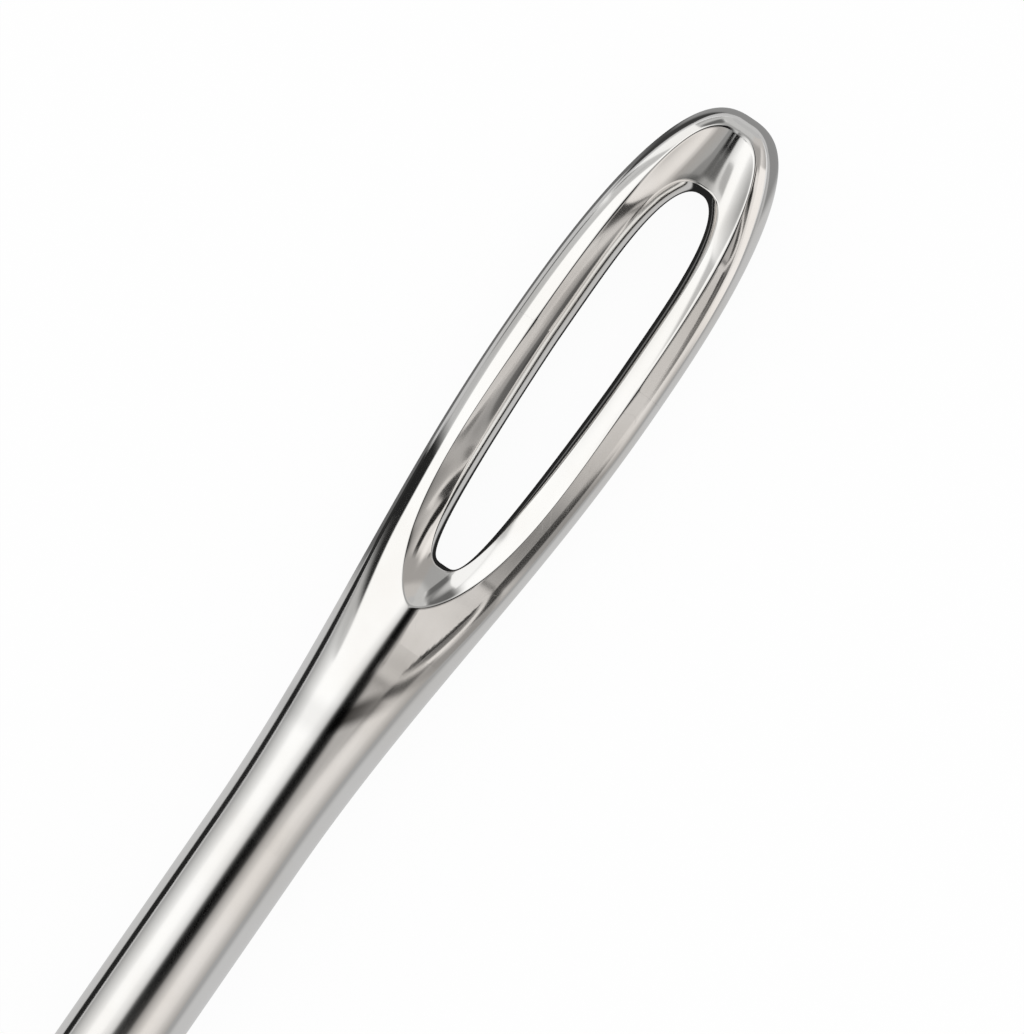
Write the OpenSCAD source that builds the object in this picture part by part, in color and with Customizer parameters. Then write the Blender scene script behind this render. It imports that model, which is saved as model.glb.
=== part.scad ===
// Large-eyed steel yarn needle, lying along X with its eye end at +X and its eye open along Z.
// It rests on its round shank, so the lowest line of the shank is at z = 0.

/* [Shank] */
// Length of the needle from the eye end to the point
length = 70; // [60:0.5:90]
// Diameter of the round wire that the shank is
shank_d = 2.3; // [2:0.05:2.5]

/* [Head] */
// Width of the flattened head at its widest place
head_w = 3.8; // [3.6:0.05:4.4]
// Thickness that the flattened head would have along its ridge if the eye weren't there
head_t = 1.8; // [1.6:0.02:2.1]
// Angle of the two flat flanks that slope down from the ridge
flank = 17.3; // [14:0.1:19]
// Distance from the eye end to the widest place of the head
widest_at = 6.5; // [6:0.1:7.5]
// Length over which the head narrows down to the shank
swell_l = 12.3; // [11:0.1:15]
// Length over which the eye end thins out to its rounded edge
nose_l = 1.3; // [1.1:0.1:1.8]
// Length over which the flanks ease in from the rounded eye end
ridge_from = 3.2; // [2.6:0.1:4]
// Distance from the eye end to where the head begins to be pressed thinner
press_at = 14.8; // [14.2:0.1:16]
// Length over which the pressing sinks to the thickness of the head
press_l = 3.4; // [2.6:0.1:4]

/* [Eye] */
// Width of metal left round the eye end, from its tip to the edge of the scoop
rim_l = 0.5; // [0.4:0.02:0.6]
// Length of the scoop pressed round the eye
scoop_l = 12.3; // [11.8:0.05:12.6]
// Width of the scoop
scoop_w = 2.66; // [2.4:0.02:2.8]
// Length of the scoop's ramp at the eye end
ramp_l = 1.35; // [1.2:0.05:1.6]
// Length of the scoop's ramp at the shank end
back_ramp_l = 1.05; // [0.8:0.05:1.4]
// Width of the mouth of the hole, at the foot of the scoop
mouth_w = 1.9; // [1.8:0.02:2]
// Width of the hole at its narrowest, half way through the head
hole_w = 1.47; // [1.3:0.01:1.6]
// Thickness of metal left between the two scoops, where the hole goes through
web_t = 0.8; // [0.7:0.02:0.9]
// How far the wall of the hole leans in at its two ends
wall_lean = 0.12; // [0.05:0.01:0.2]

/* [Point] */
// Length of the tapered point
point_l = 12; // [8:0.5:16]
// Radius of the blunt tip
tip_r = 0.45; // [0.3:0.05:0.6]

/* [Hidden] */

shank_r = shank_d / 2;
// Metal between the foot of the scoop and the plane where the neck takes over
heel_l = 0.8;
neck_at = rim_l + scoop_l + heel_l;
shank_at = widest_at + swell_l;
point_at = length - point_l;

// Distances along the needle are counted from the eye end, and end_x turns them into X
function end_x(along) = length / 2 - along;

// Bluntness of the head's outline, and of its thickness, at the eye end
outline_round = [2.5, 2.7];
nose_round = [2.4, 2.2];

// Points round a section, and steps along the neck
around = 56;
neck_steps = 22;

// A curve that starts round at 0 and has flattened out at 1
function blunt(share, round) = pow(1 - pow(1 - share, round[0]), 1 / round[1]);
function within(value) = max(0, min(1, value));

// Half the width of the needle
function half_w(along) =
    along < widest_at
        ? head_w / 2 * blunt(along / widest_at, outline_round)
        : shank_r + (head_w / 2 - shank_r)
            * (1 + cos(180 * within((along - widest_at) / swell_l))) / 2;

// Half its thickness along the ridge, and the slope of its flanks
function pressed(along) = (1 - cos(180 * within((press_at - along) / press_l))) / 2;
function half_t(along) =
    (shank_r - (shank_r - head_t / 2) * pressed(along))
        * (along < nose_l ? blunt(along / nose_l, nose_round) : 1);
function tilt(along) = flank * pow(sin(90 * within(along / ridge_from)), 2);

// A section is a circle swept round a rhombus. It is given as the radius of the circle, how far
// aside and how far above the axis the rhombus reaches, and the slope of the flanks.
function form(along) =
    let (
        across = half_w(along),
        up = half_t(along),
        slope = tilt(along),
        r = (up - across * tan(slope)) / (1 - tan(slope))
    )
    [r, across - r, up - r, slope];

// Height of the head's face above the middle plane, at a distance y from the middle
function face_z(along, y) =
    let (
        f = form(along),
        on_flank = min(max(abs(y) - f[0] * sin(f[3]), 0), f[1]),
        on_round = within((abs(y) - on_flank) / f[0])
    )
    f[2] - on_flank * tan(f[3]) + f[0] * sqrt(1 - on_round * on_round);

// A point of a quarter of the section, at a share of its length from the ridge to the side
function quarter_point(along, share) =
    let (
        f = form(along),
        run = share * (f[0] * PI / 2 + f[1] / cos(f[3])),
        on_flank = min(max(run - f[0] * PI * f[3] / 180, 0), f[1] / cos(f[3])),
        turn = (run - on_flank) / f[0] * 180 / PI
    )
    [
        on_flank * cos(f[3]) + f[0] * sin(turn),
        f[2] - on_flank * sin(f[3]) + f[0] * cos(turn)
    ];

function section(along) = [
    for (i = [0:around - 1])
        let (
            quarter = floor(4 * i / around),
            ahead = 4 * i / around - quarter,
            odd = quarter % 2 == 1,
            p = quarter_point(along, odd ? 1 - ahead : ahead)
        )
        [
            end_x(along),
            quarter < 2 ? p[0] : -p[0],
            shank_r + (quarter == 0 || quarter == 3 ? p[1] : -p[1])
        ]
];

// Triangles between two neighbouring rings of the same count
function band(ring, count) = [
    for (i = [0:count - 1], flip = [0, 1])
        let (a = ring * count + i, b = ring * count + (i + 1) % count)
            flip == 0 ? [a, b + count, b] : [a, a + count, b + count]
];

// A solid through a list of closed rings, with flat ends
module loft(rings) {
    count = len(rings[0]);
    last = len(rings) - 1;
    polyhedron(
        points = [for (ring = rings) each ring],
        faces = concat(
            [[for (i = [0:count - 1]) i]],
            [for (r = [0:last - 1]) each band(r, count)],
            [[for (i = [count - 1:-1:0]) last * count + i]]
        ),
        convexity = 6
    );
}

// The outlines round the eye: [end nearer the tip, end nearer the shank, half width,
// bluntness at the eye end, bluntness at the shank end]
scoop_mid = widest_at - 0.25;
scoop_line = [rim_l, rim_l + scoop_l, scoop_w / 2, [2.4, 2.8], [3.6, 1.6]];
mouth_line = [rim_l + ramp_l, rim_l + scoop_l - back_ramp_l, mouth_w / 2, [4, 3], [1.8, 2.8]];
hole_line = [
    mouth_line[0] + wall_lean, mouth_line[1] - wall_lean, hole_w / 2, [4, 2.3], [1.3, 4]
];

// A point of an outline at a turn of 0 to 360 degrees, starting at the end nearer the tip
function on_line(line, turn) =
    let (
        ahead = cos(turn) >= 0,
        reach = ahead ? scoop_mid - line[0] : line[1] - scoop_mid,
        round = ahead ? line[3] : line[4],
        share = pow(abs(cos(turn)), 2 / round[0]),
        side = pow(abs(sin(turn)), 2 / round[1])
    )
    [scoop_mid - (ahead ? share : -share) * reach, sign(sin(turn)) * side * line[2]];

// How hollow the scoop's slope is: 0 would be a straight slope
scoop_hollow = 0.5;
// Points round the eye, and the shares of the wall, the slope and the face that get a ring
eye_around = 96;
wall_steps = [0, 0.33, 0.66];
slope_steps = [0, 0.33, 0.66];
face_steps = 8;

function turns() = [for (i = [0:eye_around - 1]) 360 * i / eye_around];

// The wall rises from the middle of the hole to its mouth
function wall_point(turn, share) =
    let (
        mouth = on_line(mouth_line, turn),
        hole = on_line(hole_line, turn),
        flat = hole + (mouth - hole) * pow(share, 1.72)
    )
    [flat[0], flat[1], web_t / 2 * share];

// The slope rises from the mouth to the edge of the scoop, on the head's face
function slope_point(turn, share) =
    let (
        edge = on_line(scoop_line, turn),
        mouth = on_line(mouth_line, turn),
        edge_z = face_z(edge[0], edge[1]),
        sunk = 1 - share,
        drop = sunk * (1 + scoop_hollow) - scoop_hollow * sunk * sunk,
        flat = mouth + (edge - mouth) * share
    )
    [flat[0], flat[1], edge_z + (web_t / 2 - edge_z) * drop];

// Where a ray from the eye at this turn leaves the head: on its outline, or on the flat end
// where the neck takes over. Turns before corner_turn end on the outline.
corner_turn = 150;
function rim_point(turn) =
    let (
        aside = sign(sin(turn)),
        half_turn = turn > 180 ? 360 - turn : turn,
        ahead = pow(abs(cos(turn)), 2 / outline_round[0]),
        along =
            half_turn < 90
                ? scoop_mid * (1 - ahead)
                : scoop_mid + (neck_at - scoop_mid) * min(1, (half_turn - 90) / (corner_turn - 90))
    )
    half_turn < corner_turn
        ? [along, aside * half_w(along)]
        : [neck_at, aside * half_w(neck_at) * sin(90 * (180 - half_turn) / (180 - corner_turn))];

// The face runs from the edge of the scoop to there
function face_point(turn, share) =
    let (
        edge = on_line(scoop_line, turn),
        rim = rim_point(turn),
        flat = edge + (rim - edge) * sin(90 * share)
    )
    [flat[0], flat[1], share == 1 && on_outline(turn) ? 0 : face_z(flat[0], flat[1])];
function on_outline(turn) = abs(turn - 180) >= 180 - corner_turn;

// One ray of the upper skin, from the middle of the hole out to the rim
function ray(turn) =
    concat(
        [for (share = wall_steps) wall_point(turn, share)],
        [for (share = slope_steps) slope_point(turn, share)],
        [for (i = [0:face_steps]) face_point(turn, i / face_steps)]
    );

module eye_head() {
    rays = [for (turn = turns()) ray(turn)];
    count = len(rays[0]);
    whole = eye_around * count;
    open_end = [for (i = [0:eye_around - 1]) if (!on_outline(turns()[i])) i];
    first = open_end[0] - 1;
    last = open_end[len(open_end) - 1] + 1;
    // The lower skin is the upper one turned over, and shares the points that lie between them
    function up(i, k) = (i % eye_around) * count + k;
    function low(i, k) = rays[i % eye_around][k][2] == 0 ? up(i, k) : whole + up(i, k);
    upper = [
        for (i = [0:eye_around - 1], k = [0:count - 2])
            each [
                [up(i, k), up(i + 1, k), up(i + 1, k + 1)],
                [up(i, k), up(i + 1, k + 1), up(i, k + 1)]
            ]
    ];
    lower = [
        for (i = [0:eye_around - 1], k = [0:count - 2])
            each [
                [low(i, k), low(i + 1, k + 1), low(i + 1, k)],
                [low(i, k), low(i, k + 1), low(i + 1, k + 1)]
            ]
    ];
    end = concat(
        [for (i = [first:last]) up(i, count - 1)],
        [for (i = [last - 1:-1:first + 1]) low(i, count - 1)]
    );
    color("silver")
        polyhedron(
            points = concat(
                [for (r = rays) each [for (p = r) [end_x(p[0]), p[1], shank_r + p[2]]]],
                [for (r = rays) each [for (p = r) [end_x(p[0]), p[1], shank_r - p[2]]]]
            ),
            faces = concat(upper, lower, [end]),
            convexity = 6
        );
}

module neck() {
    color("silver")
        loft([
            for (i = [0:neck_steps])
                section(neck_at + (shank_at - neck_at) * i / neck_steps)
        ]);
}

module shank() {
    color("silver")
        translate([end_x(point_at), 0, shank_r])
            rotate([0, 90, 0])
                cylinder(r = shank_r, h = point_at - shank_at, $fn = 96);
}

// The point's side is one long arc, tangent to the shank and to the ball of the tip
ball_at = point_l - tip_r;
side_r = (ball_at * ball_at + shank_r * shank_r - tip_r * tip_r) / (2 * (shank_r - tip_r));
side_turn = asin(ball_at / (side_r - tip_r));
side_steps = 16;
ball_steps = 12;

module point() {
    side = [
        for (i = [0:side_steps])
            let (turn = side_turn * i / side_steps)
                [shank_r - side_r * (1 - cos(turn)), side_r * sin(turn)]
    ];
    ball = [
        for (i = [1:ball_steps])
            let (turn = side_turn + (90 - side_turn) * i / ball_steps)
                [tip_r * cos(turn), ball_at + tip_r * sin(turn)]
    ];
    color("silver")
        translate([end_x(point_at), 0, shank_r])
            rotate([0, -90, 0])
                rotate_extrude($fn = 96)
                    polygon(concat([[0, 0]], side, ball));
}

eye_head();
neck();
shank();
point();
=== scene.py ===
# %% [markdown]
# # A yarn needle with a big scooped eye
# A yarn needle is one length of steel wire. A die presses its end flat, a punch opens the eye, a cutter
# grinds the blunt point, and then the needle is tumbled and plated until it shines like a mirror.
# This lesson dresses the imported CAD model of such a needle. Nearly all that the eye sees on it is
# reflection, so two things decide the picture: how smooth the mesh is, and what stands round the needle
# for it to mirror. The lesson spends its lines on those two.

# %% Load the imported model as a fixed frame
import math

import bpy
import numpy as np
from mathutils import Matrix, Vector


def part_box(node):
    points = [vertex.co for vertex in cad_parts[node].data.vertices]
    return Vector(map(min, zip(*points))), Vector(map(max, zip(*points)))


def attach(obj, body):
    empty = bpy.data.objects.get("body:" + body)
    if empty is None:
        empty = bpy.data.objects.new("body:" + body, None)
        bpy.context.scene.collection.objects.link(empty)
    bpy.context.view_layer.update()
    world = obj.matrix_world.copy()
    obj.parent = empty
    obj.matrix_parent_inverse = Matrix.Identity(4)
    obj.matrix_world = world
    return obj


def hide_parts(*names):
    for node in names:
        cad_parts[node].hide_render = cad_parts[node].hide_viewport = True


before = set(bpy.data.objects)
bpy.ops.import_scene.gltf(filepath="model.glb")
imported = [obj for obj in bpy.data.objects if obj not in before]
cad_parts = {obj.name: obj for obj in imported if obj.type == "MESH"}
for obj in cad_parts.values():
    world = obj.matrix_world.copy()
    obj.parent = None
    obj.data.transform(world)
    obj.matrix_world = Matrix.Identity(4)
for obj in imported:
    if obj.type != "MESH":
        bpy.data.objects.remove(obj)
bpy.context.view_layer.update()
print("CAD nodes:", sorted(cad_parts))

# %% [markdown]
# ## The measures that the CAD model gives
# The needle lies along X with its eye end at +X, and its eye is open along Z. Every place along it is
# counted in millimetres from the eye end, as a needle maker would count, and turned into metres once,
# when a mesh is made. Where one stretch ends and the next begins is read from the boxes of the CAD nodes,
# so the new meshes stay where the CAD says.

# %% Driving measures, in millimetres
MM = 0.001
head_low, head_high = (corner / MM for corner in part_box("eye_head"))
shank_low, shank_high = (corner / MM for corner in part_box("shank"))
point_low, _ = (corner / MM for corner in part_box("point"))

eye_end = head_high.x
neck_at = eye_end - head_low.x
shank_at = eye_end - shank_high.x
point_at = eye_end - shank_low.x
length = eye_end - point_low.x
head_w = head_high.y - head_low.y
shank_r = (shank_high.z - shank_low.z) / 2
axis_z = (shank_high.z + shank_low.z) / 2
print(f"needle {length:.1f} mm long, shank {2 * shank_r:.2f} mm thick, head {head_w:.2f} mm wide")

# %% [markdown]
# ## The form of the head
# A pressed head is not a flat plate. The dies leave a low ridge along the middle of each face, plain
# flanks beside it, and sides that stay round. Such a section is a circle swept round a rhombus. On the
# shank the rhombus shrinks to a point and leaves the round wire, so one rule covers the whole needle. The
# CAD model uses the same rule. It gives the exact height and slope at any place, and a polished surface
# needs that: a mirror shows a dent that is far too small to see on painted plastic.

# %% Outline and thickness of the head
widest_at = 6.5
# Thickness along the ridge if the eye weren't there, and length of the rounded end
head_t = 1.8
nose_l = 1.3
# The dies ended here, and the ridge rises to the round wire over this length before it
press_at = 14.8
press_l = 3.4
flank = math.radians(17.3)
# The ridge and its flanks grow out of the rounded end over this length
ridge_from = 3.2
# The two powers of the curve that rounds the outline, and of the one that rounds the nose
outline_round = (2.5, 2.7)
nose_round = (2.4, 2.2)


def blunt(share, roundness):
    """A curve that starts round at 0 and has flattened out at 1."""
    rise, fall = roundness
    left = 1 - np.clip(share, 0, 1)
    return (1 - left**rise) ** (1 / fall)


def half_width(along):
    swell_l = shank_at - widest_at
    swell = (1 + np.cos(np.pi * np.clip((along - widest_at) / swell_l, 0, 1))) / 2
    front = head_w / 2 * blunt(along / widest_at, outline_round)
    return np.where(along < widest_at, front, shank_r + (head_w / 2 - shank_r) * swell)


def ridge_height(along):
    """Height of the ridge above the middle plane."""
    pressed = (1 - np.cos(np.pi * np.clip((press_at - along) / press_l, 0, 1))) / 2
    nose = np.where(along < nose_l, blunt(along / nose_l, nose_round), 1)
    return (shank_r - (shank_r - head_t / 2) * pressed) * nose


print("half width at the neck plane:", round(float(half_width(np.float64(neck_at))), 3), "mm")


# %% One section: a circle swept round a rhombus
def flank_tilt(along):
    """Tilt of the plain flanks, which flatten out towards the eye end."""
    return flank * np.sin(np.pi / 2 * np.clip(along / ridge_from, 0, 1)) ** 2


def section_form(along):
    """The circle's radius, how far it is swept sideways and upwards, and the flank's tilt."""
    across = half_width(along)
    up = ridge_height(along)
    tilt = flank_tilt(along)
    round_r = np.maximum((up - across * np.tan(tilt)) / (1 - np.tan(tilt)), 1e-9)
    return round_r, across - round_r, up - round_r, tilt


def face_height(along, y):
    """Height of the upper face above the middle plane."""
    round_r, aside, above, tilt = section_form(along)
    on_flank = np.clip(np.abs(y) - round_r * np.sin(tilt), 0, aside)
    on_round = np.clip((np.abs(y) - on_flank) / round_r, 0, 1)
    return above - on_flank * np.tan(tilt) + round_r * np.sqrt(1 - on_round**2)


def skin_point(along, share):
    """A point of the outside. The share is 0 on the ridge and 1 at the side, even along the surface."""
    round_r, aside, above, tilt = section_form(along)
    flank_run = aside / np.cos(tilt)
    run = share * (round_r * np.pi / 2 + flank_run)
    on_flank = np.clip(run - round_r * tilt, 0, flank_run)
    angle = (run - on_flank) / round_r
    y = on_flank * np.cos(tilt) + round_r * np.sin(angle)
    z = above - on_flank * np.sin(tilt) + round_r * np.cos(angle)
    return np.stack([along + 0 * y, y, z], axis=-1)


def share_at(along, y):
    """The share that puts a point of the outside this far from the middle."""
    round_r, aside, _, tilt = section_form(along)
    on_flank = np.clip(y - round_r * np.sin(tilt), 0, aside)
    angle = np.arcsin(np.clip((y - on_flank) / round_r, -1, 1))
    return (round_r * angle + on_flank / np.cos(tilt)) / (round_r * np.pi / 2 + aside / np.cos(tilt))


print("round of the head's side:", round(float(section_form(np.float64(widest_at))[0]), 3), "mm")

# %% [markdown]
# ## Exact normals
# Blender shades a smooth mesh by averaging the directions of its faces. On a mirror that average shows as
# faint ripples, and it breaks where two meshes meet. So the direction of the surface is worked out from
# the formula at each point, and given to the mesh as its own normals.


# %% Direction of the outside at any place
# How far apart two places are taken to read a direction from them, as a share
nudge = 1e-4


def unit(vectors):
    size = np.linalg.norm(vectors, axis=-1, keepdims=True)
    return vectors / np.maximum(size, 1e-12)


def skin_normal(along, share):
    ahead = np.maximum(along * (1 - nudge), 1e-9)
    behind = along * (1 + nudge)
    lengthwise = skin_point(behind, share) - skin_point(ahead, share)
    around = skin_point(along, share + nudge) - skin_point(along, share - nudge)
    return unit(np.cross(lengthwise, around))


side_normal = skin_normal(np.array([30.0]), np.array([1.0]))[0]
print("the normal at the side of the shank:", np.round(side_normal, 3))

# %% [markdown]
# ## The lines round the eye
# Three outlines lie round the eye: the edge of the scoop on the face, the mouth where the scoop meets the
# wall of the hole, and the hole itself half way down. Each is a blunt oval, rounder at one end than at the
# other, and one turn round the eye runs along all three. The rows of the mesh follow that turn. They
# crowd together at both ends, where the outlines bend fastest.

# %% The three outlines
# Length of the rim before the scoop, the scoop's size, and the length of its slope at both ends
rim_l = 0.5
scoop_l = 12.3
scoop_w = 2.66
ramp_l = 1.35
back_ramp_l = 1.05
# Width of the mouth and of the hole, thickness of the web between the scoops, and the form of its walls
mouth_w = 1.9
hole_w = 1.47
web_t = 0.8
wall_lean = 0.12
scoop_hollow = 0.5
wall_curve = 1.72
# The eye is widest a little nearer the eye end than the head is
scoop_mid = widest_at - 0.25

# Each line: end nearer the tip, end nearer the shank, half width, roundness at the tip and at the shank
scoop_line = (rim_l, rim_l + scoop_l, scoop_w / 2, (2.4, 2.8), (3.6, 1.6))
mouth_line = (rim_l + ramp_l, rim_l + scoop_l - back_ramp_l, mouth_w / 2, (4, 3), (1.8, 2.8))
hole_line = (mouth_line[0] + wall_lean, mouth_line[1] - wall_lean, hole_w / 2, (4, 2.3), (1.3, 4))
print("hole", hole_w, "mm wide in a scoop", scoop_w, "mm wide")


# %% Rows round the eye
def on_line(line, turn):
    """Places on a line, as distance from the eye end and distance from the middle."""
    tip_end, shank_end, half_w, tip_round, shank_round = line
    ahead = turn <= np.pi / 2
    reach = np.where(ahead, scoop_mid - tip_end, scoop_mid - shank_end)
    first = np.where(ahead, tip_round[0], shank_round[0])
    second = np.where(ahead, tip_round[1], shank_round[1])
    lengthwise = np.abs(np.cos(turn)) ** (2 / first)
    sideways = np.abs(np.sin(turn)) ** (2 / second)
    return np.stack([scoop_mid - lengthwise * reach, sideways * half_w], axis=-1)


def crowded(count, start, end):
    """Shares from 0 to 1 that crowd towards both ends, more where the number for that end is larger."""
    even = np.linspace(0, 1, count + 1)
    return even**start / (even**start + (1 - even) ** end)


rows_each_half = 120
crowd_at_tip = 1.45
crowd_at_shank = 1.2
crowd_beside = 1.65
tip_half = np.pi / 2 * crowded(rows_each_half, crowd_at_tip, crowd_beside)
shank_half = np.pi - np.pi / 2 * crowded(rows_each_half, crowd_at_shank, crowd_beside)[::-1]
turns = np.concatenate([tip_half, shank_half[1:]])
edge = on_line(scoop_line, turns)
mouth = on_line(mouth_line, turns)
hole = on_line(hole_line, turns)
for line in (edge, mouth, hole):
    line[[0, -1], 1] = 0
print("rows round half the eye:", len(turns))

# %% [markdown]
# ## From the hole out to the rim
# In section the metal round the eye has a hollow slope from the edge down to the mouth, and then a steep
# wall to the middle of the hole. A cutter would leave both corners sharp, and tumbling rounds them. The
# photograph shows each rounded corner as one dark line, a mirror of what is straight above. So each corner
# here is a short curve that leaves one surface and joins the next without a kink.

# %% Surfaces and rounded corners round the eye
# How far each rounded corner reaches from its edge, and the steps of the mesh across each surface
edge_round = 0.06
mouth_round = 0.035
wall_steps = 8
bevel_steps = 12
edge_steps = 7
mouth_steps = 9


def lifted(flat, z):
    return np.concatenate([flat, z[..., None]], axis=-1)


def slope_point(share):
    """A point on the scoop's slope for each row, with 0 at the edge and 1 at the mouth."""
    share = np.asarray(share, float) * np.ones(len(turns))
    edge_z = face_height(edge[:, 0], edge[:, 1])
    drop = share * (1 + scoop_hollow) - scoop_hollow * share**2
    flat = edge + (mouth - edge) * share[:, None]
    return lifted(flat, edge_z + (web_t / 2 - edge_z) * drop)


def wall_point(share):
    """A point on the wall for each row, with 0 at the middle plane and 1 at the mouth."""
    share = np.asarray(share, float) * np.ones(len(turns))
    flat = hole + (mouth - hole) * share[:, None] ** wall_curve
    return lifted(flat, web_t / 2 * share)


def rim_point(distance):
    """A point on the face, that far outside the edge of the scoop."""
    outward = unit(edge - mouth)
    flat = edge + outward * distance
    return lifted(flat, face_height(flat[:, 0], flat[:, 1]))


def heading(path, at):
    """Direction of a path at one place on it."""
    return unit(path(at + nudge) - path(at - nudge))


def corner(start, start_way, end, end_way, count):
    """Columns of a curve between two points, which leaves the first and reaches the second smoothly."""
    gap = end - start
    mixed = (start_way * end_way).sum(-1)
    along_start = (gap * start_way).sum(-1)
    along_end = (gap * end_way).sum(-1)
    scale = 1 - mixed**2
    first = (along_start - mixed * along_end) / scale
    second = (mixed * along_start - along_end) / scale
    bend = (start + start_way * first[:, None] + end + end_way * second[:, None]) / 2
    shares = np.linspace(0, 1, count + 1)[:, None, None]
    return (1 - shares) ** 2 * start + 2 * shares * (1 - shares) * bend + shares**2 * end


slope_foot = slope_point(1.0)[rows_each_half, 2]
print("foot of the slope above the middle:", round(float(slope_foot), 3), "mm")

# %% Columns from the hole to the rim
slope_run = np.linalg.norm(edge - mouth, axis=-1)
edge_share = edge_round / slope_run
mouth_share = 1 - mouth_round / slope_run
wall_top = 1 - mouth_round / (web_t / 2)

wall_columns = [wall_point(share) for share in np.linspace(0, wall_top, wall_steps + 1)]
mouth_columns = corner(
    wall_columns[-1],
    heading(wall_point, wall_top),
    slope_point(mouth_share),
    -heading(slope_point, mouth_share),
    mouth_steps,
)
bevel_shares = np.linspace(0, 1, bevel_steps + 1)
bevel_columns = [slope_point(mouth_share + (edge_share - mouth_share) * share) for share in bevel_shares]
edge_columns = corner(
    bevel_columns[-1],
    -heading(slope_point, edge_share),
    rim_point(edge_round),
    heading(rim_point, edge_round),
    edge_steps,
)
inner = np.stack([*wall_columns, *mouth_columns[1:], *bevel_columns[1:], *edge_columns[1:]], axis=1)
print("columns from the hole to the rim:", inner.shape[1])

# %% [markdown]
# ## One quarter, then four
# The needle is alike above and below its middle plane, and alike on its two sides. So only one quarter of
# each surface is made, as a grid of rows and columns, and three mirrored copies complete it. Points that
# fall in the same place are welded, which leaves one closed skin. A Mirror modifier would do this too,
# but it would throw the exact normals away, so the copies are made in the arrays.


# %% Grids with their normals
def grid_normals(grid):
    """Normals of the grid round the eye. Rows and columns past a mirror plane are its own, reflected."""
    flip_y = np.array([1, -1, 1])
    flip_z = np.array([1, 1, -1])
    tall = np.concatenate([grid[1:2] * flip_y, grid, grid[-2:-1] * flip_y])
    wide = np.concatenate([grid[:, 1:2] * flip_z, grid, 2 * grid[:, -1:] - grid[:, -2:-1]], axis=1)
    down_rows = tall[2:] - tall[:-2]
    over_columns = wide[:, 2:] - wide[:, :-2]
    return unit(np.cross(down_rows, over_columns))


skin_steps = 40
inner_normals = grid_normals(inner)
skin_shares = np.linspace(0, 1, skin_steps + 1)
rim_share = share_at(inner[:, -1, 0], inner[:, -1, 1])[:, None]
skin_share = rim_share + (1 - rim_share) * skin_shares
skin_along = inner[:, -1:, 0] * np.ones_like(skin_share)
skin = skin_point(skin_along, skin_share)
skin_normals = skin_normal(skin_along, skin_share)
print("the normal on the face beside the eye:", np.round(skin_normals[rows_each_half, 0], 2))


# %% Weld four quarters into one closed skin
def stretch_grid(stations):
    """A quarter of the plain outside through these stations, with its normals."""
    along, share = np.meshgrid(stations, skin_shares, indexing="ij")
    return skin_point(along, share), skin_normal(along, share)


def quads(rows, columns, first):
    index = first + np.arange(rows * columns).reshape(rows, columns)
    ring = [index[:-1, :-1], index[1:, :-1], index[1:, 1:], index[:-1, 1:]]
    return np.stack(ring, axis=-1).reshape(-1, 4)


def four_quarters(patches):
    """All points, normals and faces of quarter patches and their mirrored copies, before welding."""
    points, normals, faces = [], [], []
    count = 0
    for grid, directions in patches:
        for side in (1, -1):
            for level in (1, -1):
                flip = np.array([1, side, level])
                points.append((grid * flip).reshape(-1, 3))
                normals.append((directions * flip).reshape(-1, 3))
                faces.append(quads(*grid.shape[:2], count))
                count += grid.shape[0] * grid.shape[1]
    return np.concatenate(points), np.concatenate(normals), np.concatenate(faces)


def welded(points, normals, faces):
    """Joins points that agree to a millionth of a millimetre, and keeps one normal for each."""
    keys = np.round(points * 1e6).astype(np.int64)
    _, kept, place = np.unique(keys, axis=0, return_index=True, return_inverse=True)
    place = place.reshape(-1)
    return points[kept], unit(normals[kept]), place[faces]


def facing_out(points, normals, faces):
    """Turns each face the way of its normals. A face that has shrunk to a line goes."""
    a, b, c, d = (points[faces[:, i]] for i in range(4))
    facing = (np.cross(c - a, d - b) * normals[faces].sum(axis=1)).sum(axis=-1)
    faces[facing < 0] = faces[facing < 0][:, ::-1]
    polygons = [tuple(dict.fromkeys(face)) for face in faces.tolist()]
    return [face for face in polygons if len(face) > 2]


print("helpers for the skin ready")


# %% Close the ends and make the mesh
same_place = 1e-6


def in_scene(name, data):
    """Makes an object of a mesh or a camera and puts it in the scene."""
    thing = bpy.data.objects.new(name, data)
    bpy.context.scene.collection.objects.link(thing)
    return thing


def end_ring(points, along, way):
    """The points of a flat end, in order round it."""
    ring = np.flatnonzero(np.abs(points[:, 0] - along) < same_place)
    angle = np.arctan2(points[ring, 1], points[ring, 2])
    return tuple(ring[np.argsort(angle)][::-way].tolist())


def closed_skin(name, patches, caps):
    """Makes the mesh object. A cap is a flat end: its distance along, and the way along X that it faces."""
    points, normals, faces = welded(*four_quarters(patches))
    polygons = facing_out(points, normals, faces)
    corner_normals = [normals[list(face)] for face in polygons]
    for along, way in caps:
        polygons.append(end_ring(points, along, way))
        corner_normals.append(np.array([[way, 0, 0]] * len(polygons[-1])))
    # Distance from the eye end runs against X, so the points are mirrored and each face runs backwards
    placed = np.stack([eye_end - points[:, 0], points[:, 1], axis_z + points[:, 2]], axis=1) * MM
    mesh = bpy.data.meshes.new(name)
    mesh.from_pydata(placed.tolist(), [], [face[::-1] for face in polygons])
    mesh.shade_smooth()
    ends = [along for along, _ in caps]
    for line in mesh.edges:
        if any(all(abs(points[v, 0] - along) < same_place for v in line.vertices) for along in ends):
            line.use_edge_sharp = True
    backwards = np.concatenate([directions[::-1] for directions in corner_normals])
    mesh.normals_split_custom_set((backwards * np.array([-1, 1, 1])).tolist())
    print(name, "has", len(mesh.vertices), "points and", len(mesh.polygons), "faces")
    return in_scene(name, mesh)


print("ready to make the four stretches")


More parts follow.
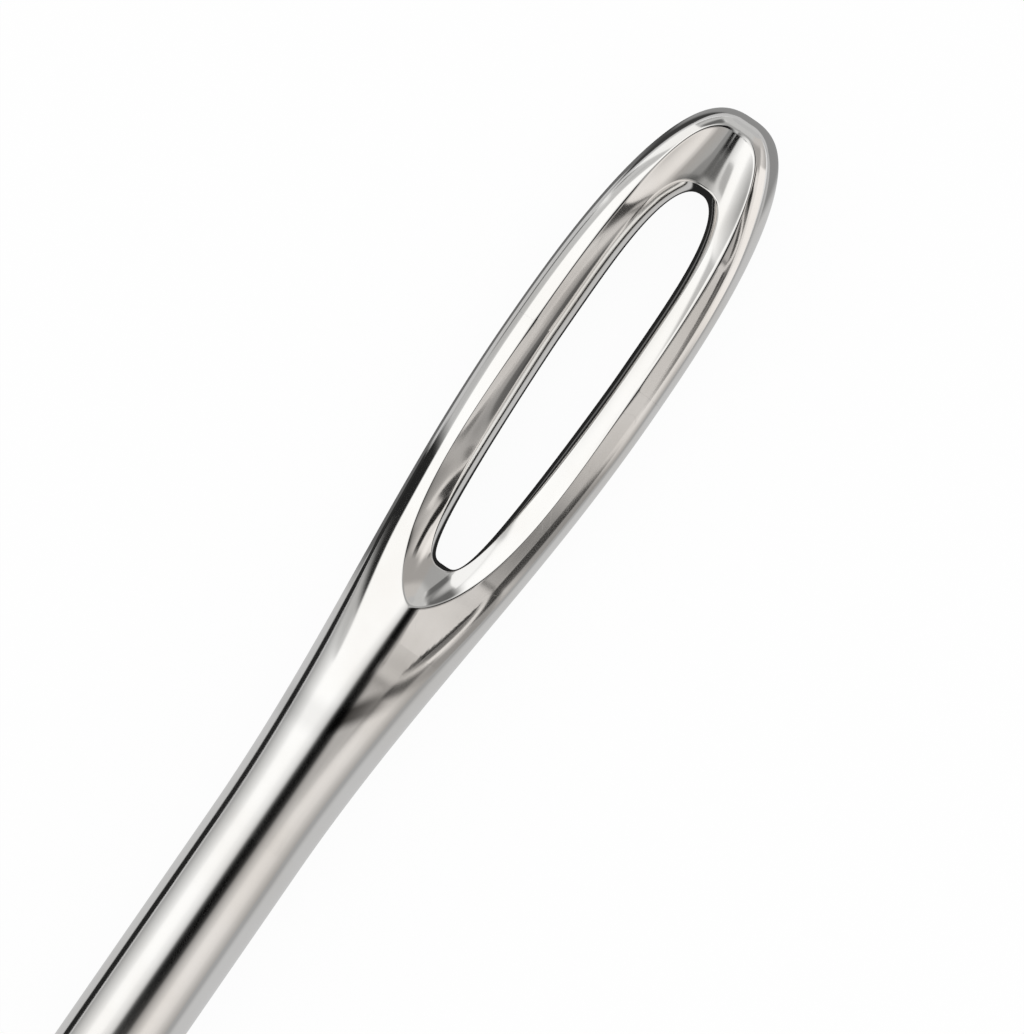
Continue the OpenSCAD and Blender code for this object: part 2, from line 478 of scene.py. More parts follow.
# %% [markdown]
# ## The four stretches
# The real needle is one piece of steel, and the CAD model names four stretches of it. Each gets its own
# mesh and stands for its CAD node. They meet on flat planes with the same ring of points and the same
# normals, so no seam shows. Each stays closed at its ends, as a solid that could be cut off there.

# %% The eye head
tip_rows = 26
heel_rows = 10
tip_end = inner[0, -1, 0]
tip_stations = nose_l * (1 - np.cos(np.linspace(0, np.arccos(1 - tip_end / nose_l), tip_rows + 1)))
tip_stations[-1] = tip_end
tip_grid, tip_normals = stretch_grid(tip_stations)
# The rings close to a point at the very tip, where the formula has no direction
tip_normals[0] = np.array([-1, 0, 0])
heel_grid, heel_normals = stretch_grid(np.linspace(inner[-1, -1, 0], neck_at, heel_rows + 1))
eye_patches = [
    (inner, inner_normals),
    (skin, skin_normals),
    (tip_grid, tip_normals),
    (heel_grid, heel_normals),
]
eye_head = closed_skin("eye_head_polished", eye_patches, [(neck_at, 1)])

# %% The neck and the shank
neck_rings = 90
shank_rings = 40
neck_patch = stretch_grid(np.linspace(neck_at, shank_at, neck_rings))
neck = closed_skin("neck_polished", [neck_patch], [(neck_at, -1), (shank_at, 1)])
shank_patch = stretch_grid(np.linspace(shank_at, point_at, shank_rings))
shank = closed_skin("shank_polished", [shank_patch], [(shank_at, -1), (point_at, 1)])

# %% [markdown]
# ## The blunt point
# A yarn needle parts the yarn and must not split it, so its point ends in a small ball. The side is one
# long arc that leaves the shank straight and meets the ball straight, so the whole taper is smooth.

# %% The point
tip_r = 0.45
side_rings = 60
ball_rings = 24
point_l = length - point_at
ball_at = point_l - tip_r
side_r = (ball_at**2 + shank_r**2 - tip_r**2) / (2 * (shank_r - tip_r))
side_turn = math.asin(ball_at / (side_r - tip_r))


def point_patch():
    """A quarter of the taper and its ball: the radius and place of each ring, and its slope."""
    side = np.linspace(0, side_turn, side_rings)
    ball = np.linspace(side_turn, np.pi / 2, ball_rings)[1:]
    slope = np.concatenate([side, ball])
    radius = np.concatenate([shank_r - side_r * (1 - np.cos(side)), tip_r * np.cos(ball)])
    place = np.concatenate([side_r * np.sin(side), ball_at + tip_r * np.sin(ball)])
    radius[-1] = 0
    turn = np.pi / 2 * skin_shares
    across = np.stack([0 * turn, np.sin(turn), np.cos(turn)], axis=-1)
    lengthwise = np.array([1, 0, 0])
    grid = across * radius[:, None, None] + lengthwise * (point_at + place)[:, None, None]
    normals = across * np.cos(slope)[:, None, None] + lengthwise * np.sin(slope)[:, None, None]
    return grid, normals


point = closed_skin("point_polished", [point_patch()], [(point_at, -1)])

# %% Ride on the frame and stand for the CAD nodes
needle_pieces = {"eye_head": eye_head, "neck": neck, "shank": shank, "point": point}
for node, piece in needle_pieces.items():
    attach(piece, "root")
    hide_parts(node)
print("pieces on the frame:", [piece.name for piece in needle_pieces.values()])

# %% [markdown]
# ## Helpers for shader nodes
# A material is a small graph. A few helpers keep the lessons below short. They add a node with its
# settings and inputs in a single call, do one sum, ease or mix between two values, and start a node group
# with named sockets.


# %% Add a node and fill its inputs
def fill_inputs(tree, node, inputs):
    """Fills inputs by name, with _ for a space, or by number, as in i2."""
    for name, value in inputs.items():
        key = int(name[1:]) if name[0] == "i" and name[1:].isdigit() else name.replace("_", " ")
        socket = node.inputs[key]
        if isinstance(value, bpy.types.NodeSocket):
            tree.links.new(value, socket)
        else:
            socket.default_value = value
    return node


def add_node(tree, kind, settings=None, **inputs):
    """Adds a node. An input is a number, a colour, a vector, or the output of another node."""
    node = tree.nodes.new(kind)
    for name, value in (settings or {}).items():
        setattr(node, name, value)
    return fill_inputs(tree, node, inputs)


def math_node(tree, operation, *values):
    numbered = {f"i{i}": value for i, value in enumerate(values)}
    return add_node(tree, "ShaderNodeMath", {"operation": operation}, **numbered).outputs[0]


def eased(tree, value, start, end, low=0.0, high=1.0):
    """Eases from low at the start to high at the end, and holds outside them."""
    smooth = {"interpolation_type": "SMOOTHSTEP"}
    return add_node(
        tree, "ShaderNodeMapRange", smooth,
        Value=value, From_Min=start, From_Max=end, To_Min=low, To_Max=high,
    ).outputs[0]


print("helpers for single nodes ready")


# %% Mix two values, colours or shaders
def mixed_value(tree, share, first, second):
    kind = {"data_type": "FLOAT"}
    return add_node(tree, "ShaderNodeMix", kind, Factor=share, i2=first, i3=second).outputs[0]


def mixed_colour(tree, share, first, second):
    kind = {"data_type": "RGBA"}
    return add_node(tree, "ShaderNodeMix", kind, Factor=share, i6=first, i7=second).outputs[2]


def mixed_shader(tree, share, first, second):
    return add_node(tree, "ShaderNodeMixShader", i0=share, i1=first, i2=second).outputs[0]


print("helpers for mixing ready")


# %% Start and use a node group, start and finish a material
def new_group(name, inputs, outputs):
    """A shader node group. Inputs are (name, kind, default) and outputs are (name, kind)."""
    group = bpy.data.node_groups.new(name, "ShaderNodeTree")
    for socket_name, kind, default in inputs:
        socket = group.interface.new_socket(socket_name, in_out="INPUT", socket_type=kind)
        if default is not None:
            socket.default_value = default
    for socket_name, kind in outputs:
        group.interface.new_socket(socket_name, in_out="OUTPUT", socket_type=kind)
    return group, group.nodes.new("NodeGroupInput"), group.nodes.new("NodeGroupOutput")


def use_group(tree, group, **inputs):
    """Places a group and fills its inputs. Gives its only output."""
    node = tree.nodes.new("ShaderNodeGroup")
    node.node_tree = group
    return fill_inputs(tree, node, inputs).outputs[0]


def bare_material(name):
    material = bpy.data.materials.new(name)
    material.use_nodes = True
    material.node_tree.nodes.clear()
    return material, material.node_tree


def finish_surface(tree, shader):
    output = add_node(tree, "ShaderNodeOutputMaterial")
    tree.links.new(shader, output.inputs["Surface"])


print("helpers for groups and materials ready")

# %% [markdown]
# ## What polishing leaves on plated steel, and a painted dark reflection
# Bright nickel over drawn wire is not one perfect mirror. The wire was drawn through a die and polished
# along its length, so its shine carries faint lines that run lengthwise. Tumbling adds short hairline
# scratches that lie in every direction, and handling leaves a soft haze. A slanted dark band across the
# neck is a painted reflection in the base colour. Each effect is a node group, and each stretch of the
# needle mixes them in its own way.

# %% Node group: lengthwise polishing lines
lines_group, lines_in, lines_out = new_group(
    "Polishing lines",
    [("Position", "NodeSocketVector", None), ("Lines per mm", "NodeSocketFloat", 9.0),
     ("Length in mm", "NodeSocketFloat", 6.0)],
    [("Height", "NodeSocketFloat")],
)
per_mm = math_node(lines_group, "DIVIDE", lines_in.outputs["Lines per mm"], MM)
per_length = math_node(lines_group, "DIVIDE", 1 / MM, lines_in.outputs["Length in mm"])
line_scale = add_node(lines_group, "ShaderNodeCombineXYZ", X=per_length, Y=per_mm, Z=per_mm)
line_place = add_node(
    lines_group, "ShaderNodeVectorMath", {"operation": "MULTIPLY"},
    i0=lines_in.outputs["Position"], i1=line_scale.outputs[0],
)
line_noise = add_node(
    lines_group, "ShaderNodeTexNoise",
    Vector=line_place.outputs[0], Scale=1.0, Detail=3.0, Roughness=0.6,
)
lines_group.links.new(line_noise.outputs["Fac"], lines_out.inputs["Height"])
print("group:", lines_group.name)

# %% Node group: hairline scratches
# A scratch is where long, thin noise passes through its middle value, and coarser noise breaks it up
scratch_stretch = (0.35, 2.4, 2.4)
scratch_half = 0.012
gap_scale = 0.9
gap_top = 0.95
gap_blur = 0.1
scratch_group, scratch_in, scratch_out = new_group(
    "Hairline scratches",
    [("Position", "NodeSocketVector", None), ("Turn", "NodeSocketVector", (0, 0, 0)),
     ("Scale", "NodeSocketFloat", 1.0), ("Share", "NodeSocketFloat", 0.5)],
    [("Mask", "NodeSocketFloat")],
)
scratch_turn = add_node(
    scratch_group, "ShaderNodeVectorRotate", {"rotation_type": "EULER_XYZ"},
    Vector=scratch_in.outputs["Position"], Rotation=scratch_in.outputs["Turn"],
)
scratch_mm = math_node(scratch_group, "DIVIDE", scratch_in.outputs["Scale"], MM)
scratch_scale = add_node(
    scratch_group, "ShaderNodeVectorMath", {"operation": "SCALE"},
    i0=scratch_turn.outputs[0], Scale=scratch_mm,
)
scratch_long = add_node(
    scratch_group, "ShaderNodeVectorMath", {"operation": "MULTIPLY"},
    i0=scratch_scale.outputs[0], i1=scratch_stretch,
)
scratch_lines = add_node(
    scratch_group, "ShaderNodeTexNoise",
    Vector=scratch_long.outputs[0], Scale=1.0, Detail=0.0, Distortion=0.15,
)
line_middle = math_node(scratch_group, "SUBTRACT", scratch_lines.outputs["Fac"], 0.5)
line_away = math_node(scratch_group, "ABSOLUTE", line_middle)
thin_line = eased(scratch_group, line_away, scratch_half, 0.0)
scratch_gaps = add_node(
    scratch_group, "ShaderNodeTexNoise",
    Vector=scratch_scale.outputs[0], Scale=gap_scale, Detail=1.0,
)
gap_from = math_node(scratch_group, "SUBTRACT", gap_top, scratch_in.outputs["Share"])
gap_to = math_node(scratch_group, "ADD", gap_from, gap_blur)
gap_mask = eased(scratch_group, scratch_gaps.outputs["Fac"], gap_from, gap_to)
scratch_mask = math_node(scratch_group, "MULTIPLY", thin_line, gap_mask)
scratch_group.links.new(scratch_mask, scratch_out.inputs["Mask"])
print("group:", scratch_group.name)

# %% Node group: handling haze
haze_range = (0.35, 0.7)
haze_group, haze_in, haze_out = new_group(
    "Handling haze",
    [("Position", "NodeSocketVector", None), ("Patch in mm", "NodeSocketFloat", 2.5)],
    [("Mask", "NodeSocketFloat")],
)
haze_per = math_node(haze_group, "DIVIDE", 1 / MM, haze_in.outputs["Patch in mm"])
haze_noise = add_node(
    haze_group, "ShaderNodeTexNoise",
    Vector=haze_in.outputs["Position"], Scale=haze_per, Detail=4.0, Roughness=0.55,
)
haze_mask = eased(haze_group, haze_noise.outputs["Fac"], *haze_range)
haze_group.links.new(haze_mask, haze_out.inputs["Mask"])
print("group:", haze_group.name)

# %% Node group: a dark reflection painted across the neck
# The painted dark band crosses the ridge at this X, in millimetres, and slants towards the eye on the right
mark_at = 19.1
mark_slant = 1.5
mark_half = 0.12
mark_blur = 0.42
# Millimetres to the right of the ridge: between which two it comes up, and between which it fades
mark_start = (-0.05, 0.2)
mark_fade = (1.1, 0.25)
mark_left_of_ridge = 0.12

painted_reflection_group, mark_in, mark_out = new_group(
    "Painted dark band", [("Position", "NodeSocketVector", None)], [("Mask", "NodeSocketFloat")]
)
mark_place = add_node(painted_reflection_group, "ShaderNodeSeparateXYZ", Vector=mark_in.outputs["Position"]).outputs
mark_x = math_node(painted_reflection_group, "DIVIDE", mark_place["X"], MM)
mark_side = math_node(painted_reflection_group, "DIVIDE", mark_place["Y"], -MM)
mark_right = math_node(painted_reflection_group, "MAXIMUM", mark_side, 0.0)
mark_line = math_node(painted_reflection_group, "MULTIPLY_ADD", mark_right, mark_slant, mark_at)
mark_off = math_node(painted_reflection_group, "ABSOLUTE", math_node(painted_reflection_group, "SUBTRACT", mark_x, mark_line))
mark_band = eased(painted_reflection_group, mark_off, mark_half + mark_blur, mark_half)
mark_begun = eased(painted_reflection_group, mark_side, *mark_start, low=mark_left_of_ridge)
mark_left = eased(painted_reflection_group, mark_side, *mark_fade)
painted_reflection_mask = math_node(painted_reflection_group, "MULTIPLY", mark_band, mark_begun)
painted_reflection_mask = math_node(painted_reflection_group, "MULTIPLY", painted_reflection_mask, mark_left)
painted_reflection_group.links.new(painted_reflection_mask, mark_out.inputs["Mask"])
print("group:", painted_reflection_group.name)

# %% [markdown]
# ## Bright nickel
# The shader is a plain metal: Metallic is 1 and the base colour is what nickel plate reflects, a light
# grey that is a little warm. Haze darkens and warms it by a hair, and a painted dark reflection turns it
# near black in a slanted band across the neck. Haze, lines and scratches each add a little roughness,
# and a very shallow bump bends the reflections along the lines and scratches.

# %% What a plated steel is mixed from
plate_clean = (0.835, 0.828, 0.818, 1)
plate_hazy = (0.80, 0.785, 0.765, 1)
# Near black of the dark reflection that is painted across the neck
painted_reflection_colour = (0.12, 0.115, 0.11, 1)
haze_patch = 2.5
haze_roughness = 0.02
line_roughness = 0.03
scratch_roughness = 0.03
scratch_depth = 0.5
# Two sets of scratches: how each is turned, and how fine it is
scratch_sets = [((0.3, 0.5, 0.35), 0.9), ((-0.6, 0.2, -0.5), 1.3)]


def plated_steel(name, base_roughness, lines_per_mm, line_length, line_depth, scratch_share):
    """Bright nickel plate with its own mix of polishing lines, scratches and haze, and a painted dark band.
    """
    material, tree = bare_material(name)
    place = add_node(tree, "ShaderNodeTexCoord").outputs["Object"]
    lines = use_group(
        tree, lines_group, Position=place, Lines_per_mm=lines_per_mm, Length_in_mm=line_length
    )
    first, second = (
        use_group(tree, scratch_group, Position=place, Turn=turn, Scale=scale, Share=scratch_share)
        for turn, scale in scratch_sets
    )
    scratches = math_node(tree, "MAXIMUM", first, second)
    haze = use_group(tree, haze_group, Position=place, Patch_in_mm=haze_patch)
    # Mask of the dark reflection painted across the neck
    mark = use_group(tree, painted_reflection_group, Position=place)
    tint = mixed_colour(tree, haze, plate_clean, plate_hazy)
    # The painted dark reflection turns the base colour near black in its band
    tint = mixed_colour(tree, mark, tint, painted_reflection_colour)
    rough_haze = math_node(tree, "MULTIPLY_ADD", haze, haze_roughness, base_roughness)
    rough_lines = math_node(tree, "MULTIPLY_ADD", lines, line_roughness, rough_haze)
    rough = math_node(tree, "MULTIPLY_ADD", scratches, scratch_roughness, rough_lines)
    relief = math_node(tree, "SUBTRACT", lines, math_node(tree, "MULTIPLY", scratches, scratch_depth))
    bump = add_node(
        tree, "ShaderNodeBump", Height=relief, Strength=1.0, Distance=line_depth * MM
    ).outputs["Normal"]
    shader = add_node(
        tree, "ShaderNodeBsdfPrincipled", Base_Color=tint, Metallic=1.0, Roughness=rough, Normal=bump
    )
    finish_surface(tree, shader.outputs[0])
    print("material:", material.name)
    return material


print("a steel mixes", len(scratch_sets), "sets of scratches")

# %% Build one steel for each stretch
# Name, roughness, lines per millimetre, their length and depth in millimetres, share of scratches
finishes = {
    "eye_head": ("bright_nickel_tumbled_eye", 0.06, 7.0, 5.0, 0.00002, 0.38),
    "neck": ("bright_nickel_pressed_neck", 0.09, 8.0, 7.0, 0.00003, 0.38),
    "shank": ("bright_nickel_drawn_shank", 0.07, 9.0, 9.0, 0.00002, 0.38),
    "point": ("bright_nickel_ground_point", 0.12, 12.0, 4.0, 0.00008, 0.40),
}
for node, finish in finishes.items():
    needle_pieces[node].data.materials.append(plated_steel(*finish))

# %% [markdown]
# ## The camera
# The photograph looks almost straight down on the eye, a little from the right and from the point's end,
# and the needle runs up to the right through it. The sides of the shank stay parallel in it, so the
# camera here stands far off behind a long lens.

# %% Where the camera stands
view_lean = math.radians(6.8)
view_back = math.radians(4.0)
picture_turn = math.radians(34.65)
# Millimetres: what the picture's height covers, the camera's distance, and where it aims from the eye end
view_height = 22.12
view_distance = 250.0
aim_back = 9.93
aim_side = 0.60

towards_camera = Vector((
    -math.sin(view_back),
    -math.sin(view_lean) * math.cos(view_back),
    math.cos(view_lean) * math.cos(view_back),
))
needle_way = Vector((1, 0, 0))
up_needle = (needle_way - towards_camera * needle_way.dot(towards_camera)).normalized()
across_needle = up_needle.cross(towards_camera)
picture_right = up_needle * math.sin(picture_turn) + across_needle * math.cos(picture_turn)
picture_up = up_needle * math.cos(picture_turn) - across_needle * math.sin(picture_turn)
aim = Vector((eye_end, 0, axis_z)) - up_needle * aim_back + across_needle * aim_side
print("the camera looks from", [round(x, 3) for x in towards_camera])

# %% Camera
camera_data = bpy.data.cameras.new("Camera")
camera_data.sensor_width = 36
camera_data.lens = camera_data.sensor_width * view_distance / view_height
camera_data.clip_start = 0.01
camera_data.clip_end = 5
camera = in_scene("Camera", camera_data)
camera_turn = Matrix((picture_right, picture_up, towards_camera)).transposed().to_4x4()
camera.matrix_world = Matrix.Translation((aim + towards_camera * view_distance) * MM) @ camera_turn
bpy.context.scene.camera = camera
print("lens", round(camera_data.lens), "mm")

# %% [markdown]
# ## Soft patches of light
# A polished needle mirrors the whole room, and nearly every band that the photograph shows on it is a
# piece of that room: white cloth, a gap, a card, the edge of the table. Each such piece is a patch with
# soft edges here, given by its place along the needle and across it. One node group makes the patch, and
# the tent, the card and the table all use it. The patches were placed one at a time, with the render set
# beside the photograph, so they serve the photograph's view best.

# %% Node group: a soft edged patch
patch_group, patch_in, patch_out = new_group(
    "Soft patch",
    [("Along", "NodeSocketFloat", 0.0), ("Across", "NodeSocketFloat", 0.0),
     ("Along middle", "NodeSocketFloat", 0.0), ("Along half", "NodeSocketFloat", 1.0),
     ("Along blur", "NodeSocketFloat", 1.0), ("Across middle", "NodeSocketFloat", 0.0),
     ("Across half", "NodeSocketFloat", 1.0), ("Across blur", "NodeSocketFloat", 1.0)],
    [("Mask", "NodeSocketFloat")],
)


def soft_side(way):
    """How far a place lies inside a patch along one direction, from 0 outside to 1 inside."""
    middle, half, blur = (patch_in.outputs[way + part] for part in (" middle", " half", " blur"))
    distance = math_node(
        patch_group, "ABSOLUTE", math_node(patch_group, "SUBTRACT", patch_in.outputs[way], middle)
    )
    return eased(patch_group, distance, math_node(patch_group, "ADD", half, blur), half)


patch_mask = math_node(patch_group, "MULTIPLY", soft_side("Along"), soft_side("Across"))
patch_group.links.new(patch_mask, patch_out.inputs["Mask"])
print("group:", patch_group.name)


# %% Places in the room, and patches one over the other
def room_axes(tree):
    place = add_node(tree, "ShaderNodeNewGeometry").outputs["Position"]
    return add_node(tree, "ShaderNodeSeparateXYZ", Vector=place).outputs


def in_mm(tree, metres):
    return math_node(tree, "DIVIDE", metres, MM)


def angle_above(tree, axes):
    """Degrees from straight above the needle, with its left side at plus."""
    return math_node(tree, "DEGREES", math_node(tree, "ARCTAN2", axes["Y"], axes["Z"]))


def one_patch(tree, along, across, patch):
    """Mask of a patch, given by middle, half and blur along the needle, then the same across it."""
    names = [way + "_" + part for way in ("Along", "Across") for part in ("middle", "half", "blur")]
    return use_group(tree, patch_group, Along=along, Across=across, **dict(zip(names, patch)))


def painted(tree, ground, along, across, patches):
    """Mixes each patch over the ground. A patch is its light, and then its place."""
    light = ground
    for level, *patch in patches:
        light = mixed_value(tree, one_patch(tree, along, across, patch), light, level)
    return light


print("helpers for patches ready")

# %% [markdown]
# ## The light tent
# A maker of such pictures builds the room round the needle: a tent of white cloth with a slit above,
# through which the lens looks. The slit is the black line that runs down the shank. The tent here is half
# a pipe over the needle that only reflections can see. Its cloth is brighter on one side and fades
# towards the table. The patches on it stand at places along it and at angles from straight above.

# %% Light on the tent's cloth
tent_r = 100.0
tent_half_l = 420.0
tent_sides = 90
# Light by angle from straight above, in degrees, with the brighter side at plus. The levels were worked
# out from the greys that the photograph shows across the shank, and then adjusted
tent_light = [
    (-90, 0.45), (-86, 0.50), (-74, 0.68), (-62, 0.86), (-48, 0.92), (-37, 0.73), (-27, 0.50),
    (-21, 0.30), (-15, 0.035), (-11, 0.01), (-2, 0.01), (3, 0.10), (7, 0.45), (12, 0.80), (23, 1.05),
    (34, 1.18), (47, 1.18), (56, 1.0), (66, 0.80), (78, 0.60), (90, 0.38),
]
warm_side = (1, 0.962, 0.925, 1)
cool_side = (1, 1, 0.99, 1)
# The cloth turns from warm to cool between these angles
tint_turn = (-22.0, -2.0)
print("light in the slit above:", dict(tent_light)[-2])

# %% Patches on the tent
# A patch: its light, then middle, half and blur along the needle in millimetres, and in degrees across
tent_patches = [
    # What the left side of the head mirrors
    (0.62, 37.0, 8.0, 5.0, 65.0, 12.0, 7.0),
    (0.55, 34.5, 3.5, 2.0, 74.0, 12.0, 6.0),
    (0.15, 41.0, 5.0, 2.5, 88.0, 4.0, 3.0),
    # What its right side mirrors
    (0.33, 27.5, 3.0, 2.5, -84.0, 20.0, 8.0),
    (0.05, 28.4, 3.8, 1.5, -48.0, 12.0, 8.0),
    (0.17, 32.0, 0.7, 0.9, -27.0, 3.0, 4.0),
    (0.20, 42.0, 3.5, 2.0, -46.0, 5.0, 5.0),
    (0.82, 47.0, 7.0, 1.5, -28.5, 1.8, 1.6),
    (0.74, 36.8, 1.9, 1.3, -29.0, 6.5, 3.5),
    # What the scoop's left wall mirrors
    (0.42, 36.8, 1.9, 1.3, -18.5, 1.5, 2.5),
    (0.16, 36.8, 1.9, 1.3, -13.5, 1.5, 2.5),
    (0.52, 42.2, 1.6, 0.8, -23.0, 3.5, 2.0),
    (0.10, 39.4, 0.9, 0.8, -23.6, 1.4, 1.3),
    (0.04, 44.5, 4.5, 1.5, -34.0, 4.0, 1.6),
    (0.02, 53.0, 6.0, 4.0, -45.0, 5.0, 4.0),
    (0.02, 92.0, 34.0, 8.0, -44.0, 4.0, 4.0),
    # What the scoop mirrors at its tip end
    (0.45, -145.0, 153.0, 4.0, -12.0, 14.0, 5.0),
    (0.30, -145.0, 153.0, 4.0, 0.0, 4.0, 3.0),
    (0.13, -145.0, 153.0, 4.0, 6.5, 2.0, 2.0),
    (0.0, -45.0, 22.0, 12.0, 7.5, 1.5, 1.5),
    (0.5, -1.0, 9.0, 4.0, 20.0, 4.0, 4.0),
    # What it mirrors at its shank end
    (0.42, 175.0, 70.0, 25.0, -12.0, 44.0, 12.0),
    (0.15, 150.0, 44.0, 28.0, 54.0, 10.0, 14.0),
    # What the rim round the eye end mirrors
    (1.08, 70.0, 21.0, 4.0, 76.0, 14.0, 6.0),
    (1.05, 77.0, 30.0, 8.0, -76.0, 12.0, 5.0),
    (0.62, 330.0, 90.0, 70.0, 0.0, 90.0, 5.0),
]
print("patches on the tent:", len(tent_patches))


# %% The tent's cloth
half_turn = 180


def light_curve(tree, value, stops):
    """Light by angle: a Float Curve through the stops, read over half a turn."""
    share = math_node(tree, "MULTIPLY_ADD", value, 1 / half_turn, 0.5)
    curve = add_node(tree, "ShaderNodeFloatCurve", Value=share)
    line = curve.mapping.curves[0]
    # Light may pass 1, so the top of the curve is raised
    curve.mapping.clip_max_y = 2
    for angle, level in stops[1:-1]:
        line.points.new(angle / half_turn + 0.5, level)
    line.points[0].location = (0, stops[0][1])
    line.points[-1].location = (1, stops[-1][1])
    curve.mapping.update()
    return curve.outputs[0]


def tent_material():
    material, tree = bare_material("tent_cloth")
    axes = room_axes(tree)
    angle = angle_above(tree, axes)
    ground = light_curve(tree, angle, tent_light)
    light = painted(tree, ground, in_mm(tree, axes["X"]), angle, tent_patches)
    side = add_node(
        tree, "ShaderNodeMapRange", Value=angle, From_Min=tint_turn[0], From_Max=tint_turn[1]
    ).outputs[0]
    tint = mixed_colour(tree, side, warm_side, cool_side)
    cloth = add_node(tree, "ShaderNodeEmission", Color=tint, Strength=light)
    finish_surface(tree, cloth.outputs[0])
    return material


print("cloth ready for the tent")


# %% The tent
def only_mirrored(piece):
    """The piece shows in reflections and nowhere else."""
    piece.visible_camera = False
    piece.visible_diffuse = False
    piece.visible_transmission = False
    piece.visible_shadow = False


def part_pipe(name, radius, ends, angles, sides):
    """Part of a pipe over the needle between two angles from straight above, open at both ends."""
    first, last = (math.radians(angle) for angle in angles)
    turns = [first + (last - first) * i / sides for i in range(sides + 1)]
    rims = [(x, radius * math.sin(turn), radius * math.cos(turn)) for turn in turns for x in ends]
    faces = [(2 * i, 2 * i + 1, 2 * i + 3, 2 * i + 2) for i in range(sides)]
    mesh = bpy.data.meshes.new(name)
    mesh.from_pydata([Vector(p) * MM for p in rims], [], faces)
    return in_scene(name, mesh)


tent = part_pipe("light_tent", tent_r, (-tent_half_l, tent_half_l), (-90, 90), tent_sides)
tent.data.materials.append(tent_material())
only_mirrored(tent)
print("tent radius", tent_r, "mm")

# %% [markdown]
# ## The black card
# A small black card stands close to the left of the head, where it swells out of the neck. It gives the
# polished side there its dark line. The card is one soft patch on a narrower piece of pipe, which is
# clear wherever the patch is not.

# %% A black card beside the head
card_r = 10.0
card_ends = (22.5, 27.0)
card_angles = (42, 90)
card_sides = 24
card_light = 0.02
card_patch = (24.6, 0.9, 1.0, 73.0, 23.0, 6.0)


def card_material():
    material, tree = bare_material("black_card")
    axes = room_axes(tree)
    mask = one_patch(tree, in_mm(tree, axes["X"]), angle_above(tree, axes), card_patch)
    clear = add_node(tree, "ShaderNodeBsdfTransparent").outputs[0]
    black = add_node(tree, "ShaderNodeEmission", Color=(1, 1, 1, 1), Strength=card_light).outputs[0]
    finish_surface(tree, mixed_shader(tree, mask, clear, black))
    return material


card = part_pipe("black_card", card_r, card_ends, card_angles, card_sides)
card.data.materials.append(card_material())
only_mirrored(card)
print("card", card_r, "mm from the needle")

# %% [markdown]
# ## The floor
# The needle lies on a white table. Seen by the camera, the table is white from its own colour, and it
# keeps the soft shadow under the needle. Seen by the needle, it is the grey of a table in the shade of
# a tent, with lighter and darker patches, and with the needle's own shadow painted on it under the eye
# and at its end. Light Path tells the two apart.

# %% Patches on the floor
floor_half = 700.0
floor_near = 0.62
# Share of the white that is lit paper, which takes the shadow
floor_shadow_share = 0.06
floor_paper = (0.95, 0.95, 0.95, 1)
# A patch: its light, then middle, half and blur in millimetres, along the needle and across it
floor_patches = [
    # Left of the shank, right of it, and past the eye end on both sides
    (0.02, -75.0, 99.3, 1.0, 13.0, 7.5, 1.0),
    (0.42, 0.0, 400.0, 10.0, -110.0, 98.0, 8.0),
    (0.90, 85.0, 42.0, 6.0, 100.0, 75.0, 10.0),
    (0.90, 85.0, 42.0, 6.0, -100.0, 82.0, 10.0),
    # Painted shadow of the eye end on the table, and a dark patch left of where the head swells
    (0.05, 36.2, 2.6, 0.8, 5.2, 3.2, 2.0),
    (0.30, 37.6, 2.6, 1.0, -1.2, 3.4, 1.5),
    (0.03, 24.1, 1.0, 0.6, 15.0, 11.5, 2.0),
    # Painted shadow of the needle on the table under the eye, for the walls of the hole to mirror
    (0.16, 28.0, 5.0, 1.5, 3.0, 1.0, 0.6),
    (0.02, 28.0, 5.0, 1.5, 0.7, 1.0, 0.5),
]
print("patches on the floor:", len(floor_patches))


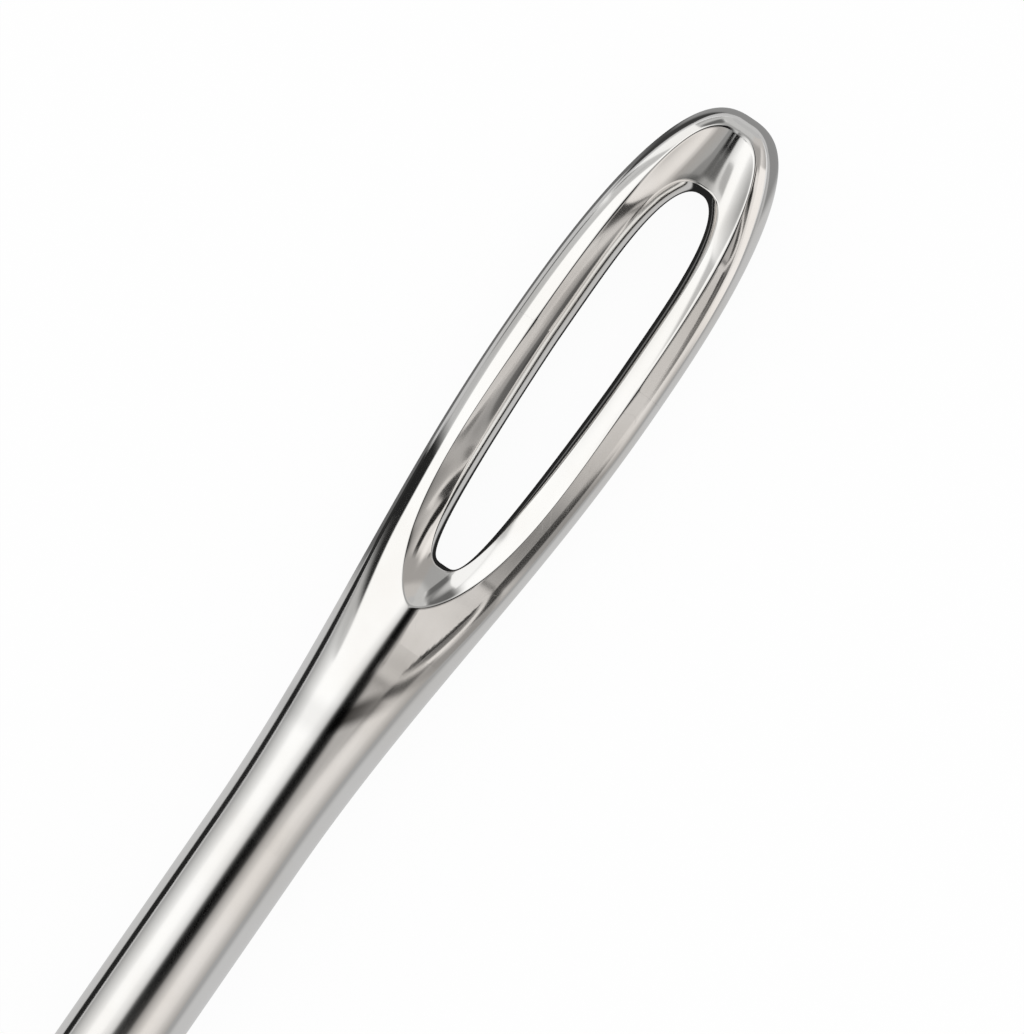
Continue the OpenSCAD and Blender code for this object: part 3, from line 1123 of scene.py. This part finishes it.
# %% The floor's white, and what the needle sees of it
def who_looks(tree):
    """Light Path's answers: 1 for the camera, and 1 for what metal or glass shows."""
    path = add_node(tree, "ShaderNodeLightPath").outputs
    by_metal = math_node(tree, "MAXIMUM", path["Is Glossy Ray"], path["Is Transmission Ray"])
    return path["Is Camera Ray"], by_metal


def floor_material():
    material, tree = bare_material("white_table")
    axes = room_axes(tree)
    light = painted(tree, floor_near, in_mm(tree, axes["X"]), in_mm(tree, axes["Y"]), floor_patches)
    paper = add_node(tree, "ShaderNodeBsdfDiffuse", Color=floor_paper).outputs[0]
    glow = add_node(tree, "ShaderNodeEmission", Color=(1, 1, 1, 1), Strength=1.0).outputs[0]
    mirrored = add_node(tree, "ShaderNodeEmission", Color=(1, 1, 1, 1), Strength=light).outputs[0]
    by_camera, by_metal = who_looks(tree)
    seen = mixed_shader(tree, floor_shadow_share, glow, paper)
    unseen = mixed_shader(tree, by_metal, paper, mirrored)
    finish_surface(tree, mixed_shader(tree, by_camera, unseen, seen))
    return material


floor_mesh = bpy.data.meshes.new("floor")
floor_corners = [(-1, -1, 0), (1, -1, 0), (1, 1, 0), (-1, 1, 0)]
floor_mesh.from_pydata([Vector(p) * floor_half * MM for p in floor_corners], [], [(0, 1, 2, 3)])
floor = in_scene("floor", floor_mesh)
floor.data.materials.append(floor_material())
print("floor half width", floor_half, "mm")

# %% [markdown]
# ## The room's light
# The world gives the even light of a white room. It is a plain white to the camera, and a little darker
# to the needle, which sees it past the two open ends of the tent.

# %% World light
room_light = 0.95
room_mirrored = 0.57
world = bpy.data.worlds.new("studio_room")
bpy.context.scene.world = world
world.use_nodes = True
world_tree = world.node_tree
world_tree.nodes.clear()
by_camera, by_metal = who_looks(world_tree)
level = mixed_value(world_tree, by_metal, room_light, room_mirrored)
shown = mixed_value(world_tree, by_camera, level, 1.0)
room = add_node(world_tree, "ShaderNodeBackground", Color=(1, 1, 1, 1), Strength=shown)
world_output = add_node(world_tree, "ShaderNodeOutputWorld")
world_tree.links.new(room.outputs[0], world_output.inputs["Surface"])
bpy.context.scene.view_settings.view_transform = "Standard"
print("room light", room_light)
